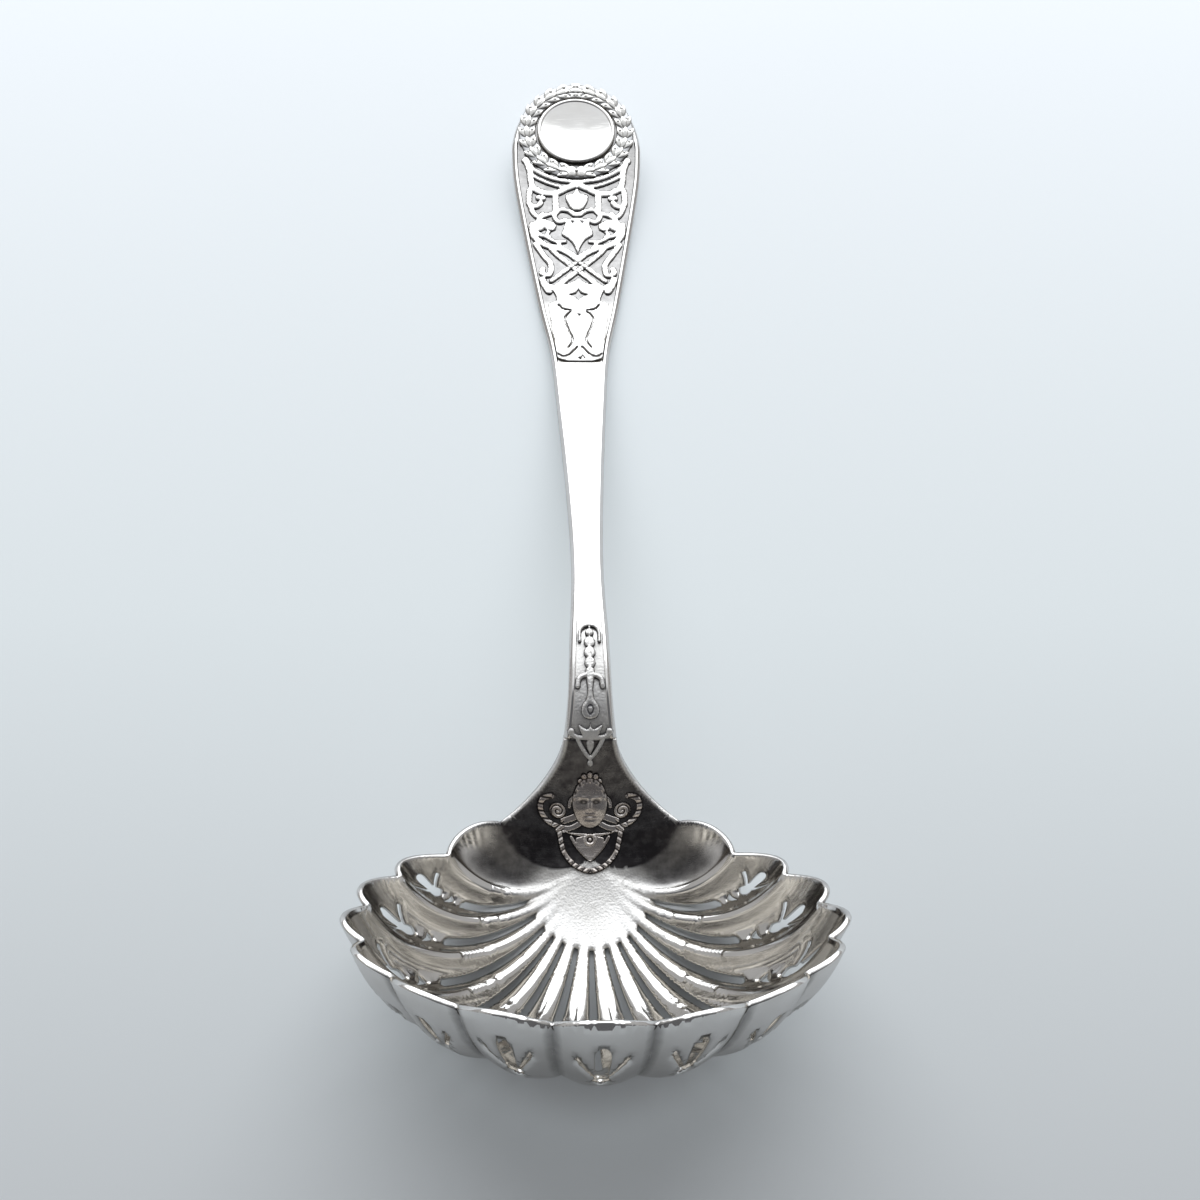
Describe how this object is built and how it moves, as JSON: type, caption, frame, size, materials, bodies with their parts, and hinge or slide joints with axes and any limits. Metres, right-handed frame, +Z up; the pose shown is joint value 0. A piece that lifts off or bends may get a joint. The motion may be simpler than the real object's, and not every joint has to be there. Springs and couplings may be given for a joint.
{
  "type": "sifter spoon",
  "caption": "Pierced shell-bowl sifter spoon with flared neck, arched handle and round relief-trimmed terminal.",
  "frame": {"origin": "on the table, under the middle of the whole spoon", "axes": "+Y from the bowl to the handle's tip, +Z up, +X to the right seen from the bowl's end"},
  "size_m": [0.0558, 0.1716, 0.0347],
  "materials": {
    "polished_silver": "hand polished, fine scratches",
    "relief_silver": "struck relief, bright tops, dark outlines",
    "oxidised_silver": "struck relief, oxidised in the hollows"
  },
  "bodies": {
    "root": {"bowl": "polished_silver", "handle": "polished_silver", "medallion": "polished_silver", "wreath": "oxidised_silver", "strapwork": "relief_silver", "husk_drop": "relief_silver", "seam_bar": "relief_silver", "mask_mount": "oxidised_silver"}
  },
  "joints": []
}
